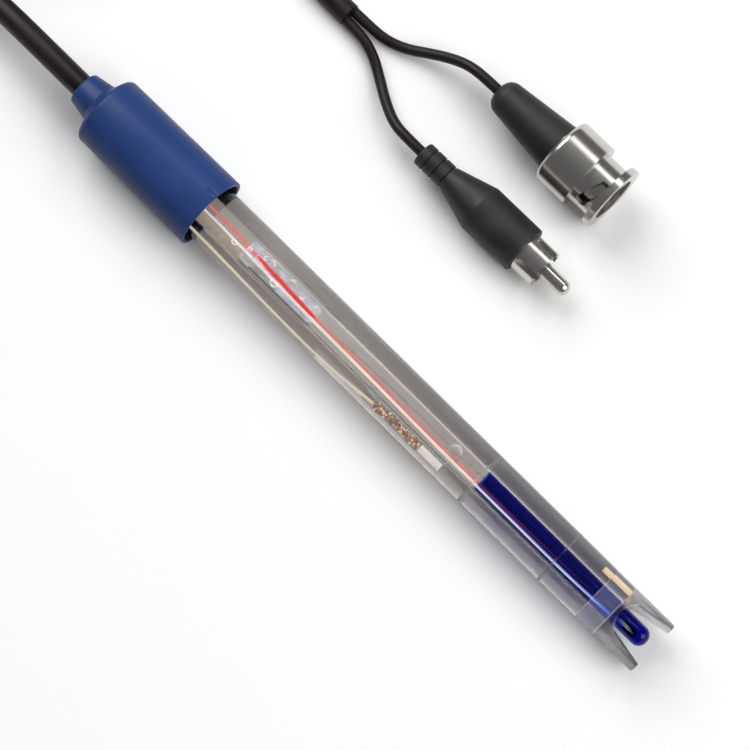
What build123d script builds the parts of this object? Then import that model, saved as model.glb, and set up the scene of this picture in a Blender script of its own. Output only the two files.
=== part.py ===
from build123d import *
import math
import os

# Combined pH electrode with a built-in temperature sensor and a fixed cable, lying on a bench.
# All sizes are in millimetres. The electrode's own frame has X along its axis, towards the tip,
# with x = 0 at the open rim of the head cap.

# Clearances and overruns
bond_gap = 0.02  # between pieces that are glued, potted or moulded together
turn_gap = 0.06  # radial running clearance of the turning nut
end_gap = 0.3  # axial clearance at each end of the turning nut
past = 1.0  # how far a cut, or a shape that is joined on, runs past the face it meets

# Head cap
cap_end_wall = 2.5
cap_rim_radius = 8.0
cap_top_radius = 7.75
shoulder_length = 1.6
neck_length = 4.9
neck_base_radius = 4.4
neck_end_radius = 3.5
cap_edge_round = 0.7
neck_edge_round = 0.5
recess_radius = 7.2
recess_depth = 5.0
seat_depth = 18.5
cavity_radius = 5.2
cavity_length = 8.5
mark_length = 2.2
mark_width = 0.5
mark_depth = 0.25
mark_angle = 20.0
mark_x = -3.0

# Shaft tube with the guard prongs
shaft_radius = 6.0
shaft_wall = 1.0
shaft_length = 120.0
seat_step = 0.2  # the glued end of the shaft is this much smaller in radius
seat_shoulder = 0.3  # from the recess floor to the full shaft
slot_start = 111.0
slot_corner_x = 112.1
slot_corner_half = 2.95
slot_tip_half = 4.05
slot_corner_round = 0.9
prong_tip_round = 0.45
witness_lines = (73.8, 95.2)
witness_width = 0.22
witness_depth = 0.05

# Stopper and end plug
bung_end = -7.0
plug_start = 105.0
plug_end = 109.9

# Glass stem and bulb
stem_radius = 2.075
stem_bore = 1.72
stem_top = 13.0
bulb_tip = 118.3
bulb_start = 111.4
bulb_membrane = 0.24
bulb_round_length = 1.9

# Fillings
glue_start = 10.5
glue_end = 29.5
buffer_top = 74.0

# Sleeve over the stem and insulation of the measuring core
sleeve_radius = 2.45
sleeve_end = 28.5
core_radius = 0.8
core_end = 12.1
core_y = -1.1
core_z = -0.35

# Wires in the stem
sensor_wire_radius = 0.21
silver_wire_radius = 0.15
bead_x = 114.3
bead_y = -0.45
bead_z = 0.1
bead_radius = 0.7
bead_half_length = 1.7

# Reference side
reference_wire_radius = 0.2
capillary_y = -3.15
capillary_radius = 0.95
capillary_bore = 0.67
capillary_start = 46.5
capillary_end = 67.3
fill_start = 48.8
fill_end = 61.5
wool_end = 67.0
junction_y = 3.25
junction_radius = 0.45
junction_start = 102.8
junction_end = 110.5

# Cable and leads
cable_diameter = 5.0
cable_tail_reach = 2.0  # how far the cable runs into the potted cavity
straight_exit = 12.0  # the cable's straight run behind the neck
lead_diameter = 2.2
lead_spread = 1.2  # each lead's offset from the middle of the cable's end
coil_inner_radius = 21.5
coil_outer_radius = 36.5
coil_height = 10.0
coil_round = 2.3
coil_x = -134.0
coil_y = 37.5

# Bayonet plug, in its own frame with x = 0 at the back of its boot
boot_length = 16.5
boot_back_radius = 3.7
boot_front_radius = 5.25
boot_dome = 2.4
lead_entry_radius = 1.3
nut_start = 16.9
grip_length = 8.0
grip_radius = 7.25
slotted_length = 5.1
slotted_radius = 5.8
nut_rim_length = 1.5
nut_bore = 4.9
nut_back_bore = 5.6
lip_start = 18.6
lip_length = 2.8
grip_edge_round = 1.0
body_tail_radius = 2.75
body_tail_start = 8.0
body_barrel_radius = 4.2
body_shoulder_radius = 5.0
body_flange_radius = 4.8
body_flange_start = 22.1
body_flange_length = 1.1
ground_radius = 4.0
ground_bore = 3.3
ground_end = 30.4
insulator_radius = 2.6
insulator_start = 15.5
insulator_end = 27.2
bayonet_pin_radius = 0.675
bayonet_pin_base = 1.0
bayonet_pin_neck = 0.5
bayonet_pin_start = 13.0
bayonet_pin_step = 22.0
bayonet_pin_end = 29.2
bayonet_pin_point = 0.9
bayonet_pin_tip = 0.24
contact_clear = 0.1  # from an insulator's face to the full contact radius
gasket_length = 1.0
gasket_radius = 4.7
gasket_seat_radius = 3.8
spring_thickness = 0.2
spring_rise = 0.3
spring_play = 0.05
bayonet_x = -20.0
bayonet_y = 57.7

# Bayonet track in the nut
track_width = 2.3
track_inset = 0.6  # how far inside the bore the cutting shape starts
track_depth = 3.0
track_turn = 62.0
track_travel = 2.0
track_steps = 4
entry_depth = 3.2
entry_radius = 5.6
stud_clear = 0.1

# Phono plug, in its own frame with x = 0 at the back of its shell
phono_neck_length = 7.2
phono_neck_radius = 2.6
phono_cone_length = 8.8
phono_shell_radius = 5.2
phono_shell_length = 28.2
phono_groove_width = 0.45
phono_groove_depth = 0.3
phono_edge_round = 0.5
ring_radius = 4.15
ring_root_radius = 3.95
ring_bore = 3.6
ring_clear = 0.3  # from the shell's face to the full ring
ring_seat = 8.2  # how deep the ring sits in the shell
ring_reach = 5.4  # how far it stands out of the shell
ring_start = phono_shell_length - ring_seat
ring_end = phono_shell_length + ring_reach
ring_slot_clear = 0.7  # from the shell's face to the ring's slots
ring_slot_start = phono_shell_length + ring_slot_clear
ring_slot_width = 1.3
ring_slots = 4
phono_insulator_reach = 0.8
phono_insulator_end = phono_shell_length + phono_insulator_reach
phono_pin_radius = 1.6
phono_pin_root = 1.4
phono_pin_seat = 4.0  # behind the ring
phono_pin_reach = 11.0  # in front of the insulator
phono_pin_start = ring_start - phono_pin_seat
phono_pin_end = phono_insulator_end + phono_pin_reach
phono_x = -22.0
phono_y = 38.5


def turned(*outline):
    """A solid turned about the X axis from the (x, radius) points of its outline."""
    return revolve(make_face(Polyline(*outline, close=True)), Axis.X)


def rod(radius, start, end, y=0.0, z=0.0):
    """A round bar along X."""
    bar = Cylinder(radius, end - start, align=(Align.CENTER, Align.CENTER, Align.MIN))
    return Pos(start, y, z) * Rot(0, 90, 0) * bar


def ring_edges(solid, x, radius):
    """The round edges of a turned solid that lie at one x and have one radius."""
    edges = solid.edges().filter_by(GeomType.CIRCLE)
    near = edges.filter_by(lambda e: abs(e.arc_center.X - x) < 0.01 and abs(e.radius - radius) < 0.01)
    return near


def bend_radii(points):
    """The largest arc that fits each corner of a route, with a tenth of each run left straight."""
    radii = []
    for before, corner, after in zip(points, points[1:], points[2:]):
        run_in = Vector(*corner) - Vector(*before)
        run_out = Vector(*after) - Vector(*corner)
        half_turn = math.radians(run_in.get_angle(run_out)) / 2
        radii.append(0.45 * min(run_in.length, run_out.length) / math.tan(half_turn))
    return radii


def strand(points, radius):
    """A round wire or cable along straight runs joined by tangent arcs."""
    path = FilletPolyline(*points, radius=bend_radii(points))
    return sweep(Plane(origin=path @ 0, z_dir=path % 0) * Circle(radius), path=path)


# Places along the head, in the electrode's frame
cavity_back = -seat_depth - cavity_length
cap_back = cavity_back - cap_end_wall
neck_front = cap_back - shoulder_length
neck_back = neck_front - neck_length
wire_start = -seat_depth + bond_gap

# Routes of the wires, in the electrode's frame
red_route = [
    (wire_start, 0.72, 1.01),
    (2.0, 0.64, 1.05),
    (22.0, -0.05, 1.3),
    (35.0, -0.38, 1.33),
    (48.0, -0.66, 1.3),
    (64.0, -0.83, 1.14),
    (78.0, -0.79, 1.1),
    (96.0, -0.63, 1.04),
    (108.0, -0.31, 0.76),
    (bead_x - 1.2, bead_y + 0.2, bead_z + 0.25),
]
white_route = [
    (wire_start, -0.27, 0.82),
    (2.0, -0.32, 0.81),
    (22.0, -0.73, 1.2),
    (35.0, -0.83, 1.04),
    (48.0, -0.89, 0.91),
    (64.0, -1.19, 0.84),
    (78.0, -1.21, 0.81),
    (96.0, -1.25, 0.73),
    (108.0, -0.93, 0.42),
    (bead_x - 1.2, bead_y - 0.2, bead_z - 0.15),
]
inner_wire_route = [
    (wire_start, core_y, core_z),
    (core_end + 0.9, core_y, core_z),
    (26.0, -0.35, -0.6),
    (42.0, 0.32, -0.55),
    (64.0, 0.52, -0.5),
    (90.0, 0.4, -0.6),
    (113.0, 0.75, -0.45),
]
reference_route = [
    (wire_start, -3.4, 0.0),
    (2.0, -3.48, 0.0),
    (17.0, -3.85, 0.0),
    (32.0, -4.12, 0.0),
    (43.0, -3.6, 0.0),
    (50.0, capillary_y - 0.02, 0.0),
]


def head_cap():
    cap = turned(
        (neck_back, 0),
        (neck_back, neck_end_radius),
        (neck_front, neck_base_radius),
        (cap_back, cap_top_radius),
        (0, cap_rim_radius),
        (0, 0),
    )
    cap = fillet(ring_edges(cap, cap_back, cap_top_radius), cap_edge_round)
    cap = fillet(ring_edges(cap, neck_front, neck_base_radius), neck_edge_round)
    cap = fillet(ring_edges(cap, neck_back, neck_end_radius), neck_edge_round)
    cap -= rod(cable_diameter / 2 + bond_gap, neck_back - past, cavity_back + past)
    cap -= rod(cavity_radius, cavity_back, -seat_depth)
    cap -= rod(shaft_radius - seat_step + bond_gap, -seat_depth - past, -recess_depth + past)
    cap -= rod(recess_radius, -recess_depth, past)
    mark = Box(mark_length, mark_width, mark_depth * 2)
    return cap - Rot(-mark_angle, 0, 0) * Pos(mark_x, 0, cap_rim_radius) * mark


def cable_tail():
    return rod(cable_diameter / 2, neck_back, cavity_back + cable_tail_reach)


def head_resin():
    resin = rod(cavity_radius - bond_gap, cavity_back + bond_gap, wire_start - 2 * bond_gap)
    tail_hole = cable_diameter / 2 + bond_gap
    return resin - rod(tail_hole, cavity_back - past, cavity_back + cable_tail_reach + bond_gap)


def shaft_tube():
    tube = rod(shaft_radius - seat_step, wire_start, 0)
    tube += rod(shaft_radius, seat_shoulder - recess_depth, shaft_length)
    tube = fillet(ring_edges(tube, shaft_length, shaft_radius), prong_tip_round)
    tube -= rod(shaft_radius - shaft_wall, wire_start - past, shaft_length + past)
    for x in witness_lines:
        band = rod(shaft_radius + past, x - witness_width / 2, x + witness_width / 2)
        tube -= band - rod(shaft_radius - witness_depth, x - past, x + past)
    return tube - guard_slot()


def guard_slot():
    """The tulip-shaped gap between the prongs, cut right through from front to back."""
    beyond = shaft_length + 2 * past
    outline = [
        ThreePointArc((slot_corner_x, -slot_corner_half), (slot_start, 0), (slot_corner_x, slot_corner_half)),
        Polyline(
            (slot_corner_x, slot_corner_half),
            (shaft_length, slot_tip_half),
            (beyond, slot_tip_half),
            (beyond, -slot_tip_half),
            (shaft_length, -slot_tip_half),
            (slot_corner_x, -slot_corner_half),
        ),
    ]
    face = make_face(Curve() + outline)
    corners = face.vertices().filter_by(lambda v: abs(v.X - slot_corner_x) < 0.01)
    face = fillet(corners, slot_corner_round)
    return extrude(face, shaft_radius + past, both=True)


def shaft_bung():
    bung = rod(shaft_radius - shaft_wall - bond_gap, wire_start, bung_end)
    bung -= rod(sleeve_radius + bond_gap, wire_start - past, bung_end + past)
    return bung - strand(reference_route, reference_wire_radius + bond_gap)


def end_plug():
    plug = rod(shaft_radius - shaft_wall - bond_gap, plug_start, plug_end)
    plug -= rod(stem_radius + bond_gap, plug_start - past, plug_end + past)
    return plug - rod(junction_radius + bond_gap, plug_start - past, plug_end + past, junction_y)


def bulb_shape(radius, start, tip, round_length):
    """A round bar whose end is a half ellipse."""
    dome = EllipticalCenterArc((tip - round_length, 0), round_length, radius, arc_size=90)
    flat = Polyline((tip - round_length, radius), (start, radius), (start, 0), (tip, 0))
    return revolve(make_face(Curve() + [dome, flat]), Axis.X)


def glass_stem():
    outside = bulb_shape(stem_radius, stem_top, bulb_tip, bulb_round_length)
    return outside - rod(stem_bore, stem_top - past, bulb_start + past) - bulb_inside(0)


def bulb_inside(gap):
    radius = stem_radius - bulb_membrane - gap
    tip = bulb_tip - bulb_membrane - gap
    return bulb_shape(radius, bulb_start + gap, tip, bulb_round_length - bulb_membrane)


def sensor_bead(gap=0.0):
    """The bead, or the hole that the buffer leaves for it where a gap is given."""
    reach = bead_half_length - bead_radius
    bead = rod(bead_radius + gap, bead_x - reach, bead_x + reach, bead_y, bead_z)
    for end in (-reach, reach):
        bead += Pos(bead_x + end, bead_y, bead_z) * Rot(0, 90, 0) * Sphere(bead_radius + gap)
    return bead


def wire_holes():
    """What the stem's fillings leave free: the wires, the core's sleeve and the bead."""
    return [
        strand(red_route, sensor_wire_radius + bond_gap),
        strand(white_route, sensor_wire_radius + bond_gap),
        strand(inner_wire_route, silver_wire_radius + bond_gap),
        rod(core_radius + bond_gap, wire_start, core_end + bond_gap, core_y, core_z),
    ]


def seal_glue():
    glue = rod(stem_radius, glue_start, stem_top - bond_gap)
    glue += rod(stem_bore - bond_gap, stem_top - past, glue_end)
    return glue - wire_holes()


def stem_gel():
    return rod(stem_bore - bond_gap, glue_end + bond_gap, buffer_top - bond_gap) - wire_holes()


def buffer_solution():
    column = rod(stem_bore - bond_gap, buffer_top, bulb_start + past) + bulb_inside(bond_gap)
    return column - sensor_bead(bond_gap) - wire_holes()


def stem_sleeve():
    sleeve = rod(sleeve_radius, wire_start, sleeve_end)
    return sleeve - rod(stem_radius + bond_gap, wire_start - past, sleeve_end + past)


def core_sleeve():
    core = rod(core_radius, wire_start, core_end, core_y, core_z)
    return core - rod(silver_wire_radius + bond_gap, wire_start - past, core_end + past, core_y, core_z)


def inner_wire():
    return strand(inner_wire_route, silver_wire_radius)


def sensor_lead(route):
    return strand(route, sensor_wire_radius) - sensor_bead(bond_gap)


def reference_wire():
    return strand(reference_route, reference_wire_radius)


def reference_capillary():
    tube = rod(capillary_radius, capillary_start, capillary_end, capillary_y)
    return tube - rod(capillary_bore, capillary_start - past, capillary_end + past, capillary_y)


def chloride_fill():
    fill = rod(capillary_bore - bond_gap, fill_start, fill_end, capillary_y)
    return fill - strand(reference_route, reference_wire_radius + bond_gap)


def wool_plug():
    return rod(capillary_bore - bond_gap, fill_end + bond_gap, wool_end, capillary_y)


def ceramic_junction():
    return rod(junction_radius, junction_start, junction_end, junction_y)


def electrolyte_gel():
    start = bung_end + bond_gap
    end = plug_start - bond_gap
    gel = rod(shaft_radius - shaft_wall - bond_gap, start, end)
    gel -= rod(sleeve_radius + bond_gap, start - past, sleeve_end + bond_gap)
    gel -= rod(stem_radius + bond_gap, start - past, end + past)
    gel -= rod(capillary_radius + bond_gap, capillary_start - bond_gap, capillary_end + bond_gap, capillary_y)
    gel -= rod(junction_radius + bond_gap, junction_start - bond_gap, end + past, junction_y)
    return gel - strand(reference_route, reference_wire_radius + bond_gap)


def bayonet_boot():
    dome = ThreePointArc(
        (0, lead_entry_radius),
        (boot_dome * 0.3, boot_back_radius * 0.78),
        (boot_dome, boot_back_radius),
    )
    rest = Polyline(
        (boot_dome, boot_back_radius),
        (boot_length, boot_front_radius),
        (boot_length, 0),
        (0, 0),
        (0, lead_entry_radius),
    )
    boot = revolve(make_face(Curve() + [dome, rest]), Axis.X)
    return boot - rod(body_tail_radius + bond_gap, body_tail_start - bond_gap, boot_length + past)


def bayonet_body():
    flange_end = body_flange_start + body_flange_length
    seat_end = flange_end + gasket_length + 2 * bond_gap
    body = turned(
        (body_tail_start, 0),
        (body_tail_start, body_tail_radius),
        (boot_length + bond_gap, body_tail_radius),
        (boot_length + bond_gap, body_shoulder_radius),
        (lip_start - end_gap, body_shoulder_radius),
        (lip_start - end_gap, body_barrel_radius),
        (body_flange_start, body_barrel_radius),
        (body_flange_start, body_flange_radius),
        (flange_end, body_flange_radius),
        (flange_end, gasket_seat_radius),
        (seat_end, gasket_seat_radius),
        (seat_end, ground_radius),
        (ground_end, ground_radius),
        (ground_end, 0),
    )
    body -= rod(ground_bore, flange_end, ground_end + past)
    body -= rod(insulator_radius + bond_gap, insulator_start - bond_gap, ground_end)
    return body - rod(bayonet_pin_base + bond_gap, bayonet_pin_start - bond_gap, insulator_start)


def bayonet_insulator():
    core = rod(insulator_radius, insulator_start, insulator_end)
    core -= rod(bayonet_pin_radius + bond_gap, insulator_start - past, insulator_end + past)
    return core - rod(bayonet_pin_base + bond_gap, insulator_start - past, bayonet_pin_step + bond_gap)


def bayonet_pin():
    contact_start = insulator_end + contact_clear
    return turned(
        (bayonet_pin_start, 0),
        (bayonet_pin_start, bayonet_pin_base),
        (bayonet_pin_step, bayonet_pin_base),
        (bayonet_pin_step, bayonet_pin_neck),
        (contact_start, bayonet_pin_neck),
        (contact_start, bayonet_pin_radius),
        (bayonet_pin_end - bayonet_pin_point, bayonet_pin_radius),
        (bayonet_pin_end, bayonet_pin_tip),
        (bayonet_pin_end, 0),
    )


def bayonet_gasket():
    start = body_flange_start + body_flange_length + bond_gap
    ring = rod(gasket_radius, start, start + gasket_length)
    return ring - rod(gasket_seat_radius + bond_gap, start - past, start + gasket_length + past)


def bayonet_spring():
    """A curved spring washer: a flat ring bent about one line."""
    middle = body_flange_start - spring_thickness - spring_play
    half = body_flange_radius - 2 * spring_play
    bend = ThreePointArc((middle - spring_rise, -half), (middle, 0), (middle - spring_rise, half))
    sheet = make_face(Curve() + [bend, closing_lines(bend, spring_thickness)])
    washer = rod(half, middle - 2, middle + 2)
    washer -= rod(body_barrel_radius + spring_play, middle - 3, middle + 3)
    return extrude(sheet, grip_radius, both=True) & washer


def closing_lines(bend, thickness):
    """The far side of a strip that follows an arc in the XY plane."""
    start, middle, end = (Vector(bend @ t) + Vector(thickness, 0, 0) for t in (0, 0.5, 1))
    far = ThreePointArc(start, middle, end)
    return Curve() + [far, Line(bend @ 0, start), Line(bend @ 1, end)]


def bayonet_nut():
    grip_end = nut_start + grip_length
    rim_start = grip_end + slotted_length
    nut_end = rim_start + nut_rim_length
    lip_end = lip_start + lip_length
    nut = turned(
        (nut_start, nut_back_bore),
        (nut_start, grip_radius),
        (grip_end, grip_radius),
        (grip_end, slotted_radius),
        (rim_start, slotted_radius),
        (rim_start, grip_radius),
        (nut_end, grip_radius),
        (nut_end, nut_bore),
        (lip_end, nut_bore),
        (lip_end, body_barrel_radius + turn_gap),
        (lip_start, body_barrel_radius + turn_gap),
        (lip_start, nut_back_bore),
    )
    nut = fillet(ring_edges(nut, nut_start, grip_radius), grip_edge_round)
    for side in (0, 180):
        nut -= Rot(side, 0, 0) * bayonet_track(nut_end)
    return nut


def bayonet_track(nut_end):
    """The way in for a stud and the slanted slot that draws the nut forward."""
    entry = Box(entry_depth + past, track_width, entry_radius, align=(Align.MIN, Align.CENTER, Align.MIN))
    track = Pos(nut_end - entry_depth, 0, 0) * entry
    front = nut_end - entry_depth + track_width / 2
    sections = []
    for step in range(track_steps + 1):
        share = step / track_steps
        window = Rectangle(track_width, track_depth, align=(Align.CENTER, Align.MIN))
        plane = Plane(origin=(0, 0, 0), x_dir=(1, 0, 0), z_dir=(0, -1, 0))
        shifted = plane * Pos(front - track_travel * share, nut_bore - track_inset, 0) * window
        sections.append(Rot(track_turn * share, 0, 0) * shifted)
    track += loft(sections, ruled=True)
    seat = Pos(front - track_travel, 0, 0) * Cylinder(
        track_width / 2 + stud_clear, slotted_radius + past, align=(Align.CENTER, Align.CENTER, Align.MIN)
    )
    return track + Rot(track_turn, 0, 0) * seat


def phono_shell():
    cone_end = phono_neck_length + phono_cone_length
    shell = turned(
        (0, 0),
        (0, phono_neck_radius),
        (phono_neck_length, phono_neck_radius),
        (cone_end, phono_shell_radius),
        (phono_shell_length, phono_shell_radius),
        (phono_shell_length, 0),
    )
    shell = fillet(ring_edges(shell, 0, phono_neck_radius), phono_edge_round)
    shell = fillet(ring_edges(shell, phono_shell_length, phono_shell_radius), phono_edge_round)
    for turn in range(3):
        x = phono_neck_length * (turn + 1) / 3
        band = rod(phono_neck_radius + past, x - phono_groove_width, x)
        shell -= band - rod(phono_neck_radius - phono_groove_depth, x - past, x + past)
    shell -= rod(ring_root_radius + bond_gap, ring_start - bond_gap, phono_shell_length + past)
    return shell - rod(phono_pin_root + bond_gap, phono_pin_start - bond_gap, ring_start)


def phono_ring():
    ring = rod(ring_root_radius, ring_start, ring_end)
    ring += rod(ring_radius, phono_shell_length + ring_clear, ring_end)
    ring -= rod(ring_bore, ring_start - past, ring_end + past)
    for turn in range(ring_slots):
        slot = Box(
            ring_end - ring_slot_start + past,
            ring_slot_width,
            ring_radius + past,
            align=(Align.MIN, Align.CENTER, Align.MIN),
        )
        ring -= Rot(45 + turn * 360 / ring_slots, 0, 0) * Pos(ring_slot_start, 0, 0) * slot
    return ring


def phono_insulator():
    core = rod(ring_bore - bond_gap, ring_start, phono_insulator_end)
    return core - rod(phono_pin_root + bond_gap, ring_start - past, phono_insulator_end + past)


def phono_pin():
    contact_start = phono_insulator_end + 2 * contact_clear
    pin = bulb_shape(phono_pin_radius, contact_start, phono_pin_end, phono_pin_radius)
    return pin + rod(phono_pin_root, phono_pin_start, contact_start)


def cable_coil():
    """The outer shape of the wound turns."""
    middle = (coil_inner_radius + coil_outer_radius) / 2
    section = RectangleRounded(coil_outer_radius - coil_inner_radius, coil_height, coil_round)
    ring = revolve(Plane.XZ * Pos(middle, coil_height / 2, 0) * section, Axis.Z)
    return Pos(coil_x, coil_y, 0) * ring


electrode = {
    "head_cap": head_cap(),
    "cable_tail": cable_tail(),
    "head_resin": head_resin(),
    "shaft_bung": shaft_bung(),
    "shaft_tube": shaft_tube(),
    "end_plug": end_plug(),
    "glass_stem": glass_stem(),
    "buffer_solution": buffer_solution(),
    "stem_gel": stem_gel(),
    "seal_glue": seal_glue(),
    "stem_sleeve": stem_sleeve(),
    "core_sleeve": core_sleeve(),
    "inner_wire": inner_wire(),
    "red_lead": sensor_lead(red_route),
    "white_lead": sensor_lead(white_route),
    "sensor_bead": sensor_bead(),
    "reference_wire": reference_wire(),
    "reference_capillary": reference_capillary(),
    "chloride_fill": chloride_fill(),
    "wool_plug": wool_plug(),
    "ceramic_junction": ceramic_junction(),
    "electrolyte_gel": electrolyte_gel(),
}

# The electrode lies on its cap's rim and on the last full-round part of its shaft, so its tip
# points slightly down. The row's origin is under the middle of it, on the bench.
rest_tilt = math.degrees(math.atan((cap_rim_radius - shaft_radius) / slot_start))
tilted = Rot(0, rest_tilt, 0)
box = (tilted * electrode["head_cap"]).bounding_box()
box = box.add((tilted * electrode["shaft_tube"]).bounding_box())
rest = Pos(-box.center().X, -box.center().Y, -box.min.Z) * tilted

# The cable leaves the neck along the electrode's axis, drops to the bench, is coiled, comes back
# and forks into two leads. Points that follow the exit are chosen by hand.
exit_point = (rest * Pos(neck_back, 0, 0)).position
straight_point = (rest * Pos(neck_back - straight_exit, 0, 0)).position
floor_z = cable_diameter / 2
out_route = [
    tuple(exit_point),
    tuple(straight_point),
    (-102.0, 0.1, 7.9),
    (-113.0, -0.3, 4.7),
    (-123.0, -1.2, 2.8),
    (-135.0, -1.8, floor_z),
    (-150.0, 3.6, floor_z),
    (-161.0, 15.0, floor_z),
]
return_route = [
    (-159.0, 14.4, 7.6),
    (-170.0, 27.9, 7.2),
    (-173.2, 44.4, 5.0),
    (-166.8, 60.4, 2.7),
    (-154.0, 72.1, floor_z),
    (-136.0, 77.0, floor_z),
    (-118.0, 74.0, floor_z),
    (-102.0, 66.2, floor_z),
    (-86.5, 56.4, floor_z),
    (-70.0, 49.0, floor_z),
    (-53.0, 49.0, floor_z),
]
fork = return_route[-1]
bayonet_height = grip_radius
phono_height = phono_shell_radius
bayonet_lead_route = [
    (fork[0], fork[1] + lead_spread, floor_z),
    (-48.5, fork[1] + lead_spread, floor_z),
    (-44.3, 50.6, 1.74),
    (-40.0, 52.2, 1.74),
    (-36.0, 54.6, 2.63),
    (-32.0, 56.4, 4.5),
    (-28.0, 57.5, 6.36),
    (-24.0, bayonet_y, bayonet_height),
    (bayonet_x, bayonet_y, bayonet_height),
]
phono_lead_route = [
    (fork[0], fork[1] - lead_spread, floor_z),
    (-48.5, fork[1] - lead_spread, floor_z),
    (-43.8, 46.6, 1.8),
    (-39.5, 44.1, 1.5),
    (-34.9, 41.2, 2.6),
    (-30.4, 39.0, 4.2),
    (-26.2, phono_y, phono_height),
    (phono_x, phono_y, phono_height),
]

cords = {
    "cable_out": strand(out_route, cable_diameter / 2),
    "cable_coil": cable_coil(),
    "cable_return": strand(return_route, cable_diameter / 2),
    "lead_bayonet": strand(bayonet_lead_route, lead_diameter / 2),
    "lead_phono": strand(phono_lead_route, lead_diameter / 2),
}
bayonet_plug = {
    "bayonet_boot": bayonet_boot(),
    "bayonet_body": bayonet_body(),
    "bayonet_insulator": bayonet_insulator(),
    "bayonet_pin": bayonet_pin(),
    "bayonet_gasket": bayonet_gasket(),
    "bayonet_spring": bayonet_spring(),
    "bayonet_nut": bayonet_nut(),
}
phono_plug = {
    "phono_shell": phono_shell(),
    "phono_ring": phono_ring(),
    "phono_insulator": phono_insulator(),
    "phono_pin": phono_pin(),
}

nodes = dict(cords)
for name, piece in electrode.items():
    nodes[name] = rest * piece
for name, piece in bayonet_plug.items():
    nodes[name] = Pos(bayonet_x, bayonet_y, bayonet_height) * piece
for name, piece in phono_plug.items():
    nodes[name] = Pos(phono_x, phono_y, phono_height) * piece

os.makedirs("parts", exist_ok=True)
for name, piece in nodes.items():
    export_step(piece, f"parts/{name}.step")

tubes = (
    ("cable_out", out_route, cable_diameter / 2),
    ("cable_return", return_route, cable_diameter / 2),
    ("lead_bayonet", bayonet_lead_route, lead_diameter / 2),
    ("lead_phono", phono_lead_route, lead_diameter / 2),
    ("red_lead", red_route, sensor_wire_radius),
    ("white_lead", white_route, sensor_wire_radius),
    ("inner_wire", inner_wire_route, silver_wire_radius),
    ("reference_wire", reference_route, reference_wire_radius),
)
for name, route, radius in tubes:
    radii = bend_radii(route)
    length = FilletPolyline(*route, radius=radii).length
    share = nodes[name].volume / (math.pi * radius**2 * length)
    print(f"{name}: length {length:.1f}, smallest bend radius {min(radii):.1f}, volume ratio {share:.3f}")
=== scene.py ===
# %% [markdown]
# # A pH electrode with its cable, dressed for a studio render
# The solid model comes in as a fixed frame, in metres. Each cell below makes one piece or one
# finish of the electrode, and the pieces go exactly where the frame has its solids.
# The frame's box is kept.

# %% Load the frame
import math

import bmesh
import bpy
from mathutils import Matrix, Vector, noise


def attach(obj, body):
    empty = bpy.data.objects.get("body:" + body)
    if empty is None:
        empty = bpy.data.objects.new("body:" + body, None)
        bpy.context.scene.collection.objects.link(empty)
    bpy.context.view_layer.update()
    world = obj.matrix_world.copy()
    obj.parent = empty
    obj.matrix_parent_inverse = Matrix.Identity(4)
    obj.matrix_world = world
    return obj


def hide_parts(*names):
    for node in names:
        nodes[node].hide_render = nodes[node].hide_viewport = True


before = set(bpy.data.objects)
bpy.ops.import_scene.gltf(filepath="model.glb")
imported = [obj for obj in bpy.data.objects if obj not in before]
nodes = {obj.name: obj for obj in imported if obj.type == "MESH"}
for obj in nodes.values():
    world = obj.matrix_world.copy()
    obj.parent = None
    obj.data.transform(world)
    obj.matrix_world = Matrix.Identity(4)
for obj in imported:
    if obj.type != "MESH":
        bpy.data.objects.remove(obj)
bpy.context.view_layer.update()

# %% [markdown]
# The camera looks down on the bench at a steep angle, with the electrode running from the top left
# to the bottom right of the picture. A long lens keeps the thin shaft almost free of perspective.
# The camera's three axes are written out, because that says exactly how it is turned.

# %% Camera
MM = 0.001
camera_target = Vector((3.25, 0.0, 7.18)) * MM
camera_distance = 539 * MM
camera_elevation = math.radians(78.7)
camera_azimuth = math.radians(45)

right = Vector((math.cos(camera_azimuth), math.sin(camera_azimuth), 0))
flat_up = Vector((-math.sin(camera_azimuth), math.cos(camera_azimuth), 0))
back = Vector((0, 0, 1)) * math.sin(camera_elevation) - flat_up * math.cos(camera_elevation)
up = back.cross(right)

camera_data = bpy.data.cameras.new("bench_camera")
camera_data.lens = 133.8
camera = bpy.data.objects.new("bench_camera", camera_data)
bpy.context.collection.objects.link(camera)
turn = Matrix((right, up, back)).transposed().to_4x4()
camera.matrix_world = Matrix.Translation(camera_target + back * camera_distance) @ turn
bpy.context.scene.camera = camera
print("camera at", [round(v, 3) for v in camera.location])

# %% [markdown]
# The electrode lies on the bench as it would come to rest: the thick cap holds its end up, so the
# shaft slopes down to where its underside touches. The slope comes from the two radii, and
# every piece of the electrode is laid along the same axis later on.

# %% How the electrode lies, in millimetres
cap_radius = 8.0
tube_radius = 6.0
underside_end = 111.0  # where the tube's underside ends, at the gap between the prongs
neck_reach = 36.0  # from the cap's rim back to the end of its neck
straight_reach = 48.0  # from the rim back to where the cable starts to bend
shaft_tilt = math.atan((cap_radius - tube_radius) / underside_end)
rim_centre = Vector((-42.0, 0.0, cap_radius * math.cos(shaft_tilt)))
shaft_axis = Vector((math.cos(shaft_tilt), 0, -math.sin(shaft_tilt)))
cable_exit = rim_centre - shaft_axis * neck_reach
cable_straight = rim_centre - shaft_axis * straight_reach
print("shaft tilted by", round(math.degrees(shaft_tilt), 2), "degrees")
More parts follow.
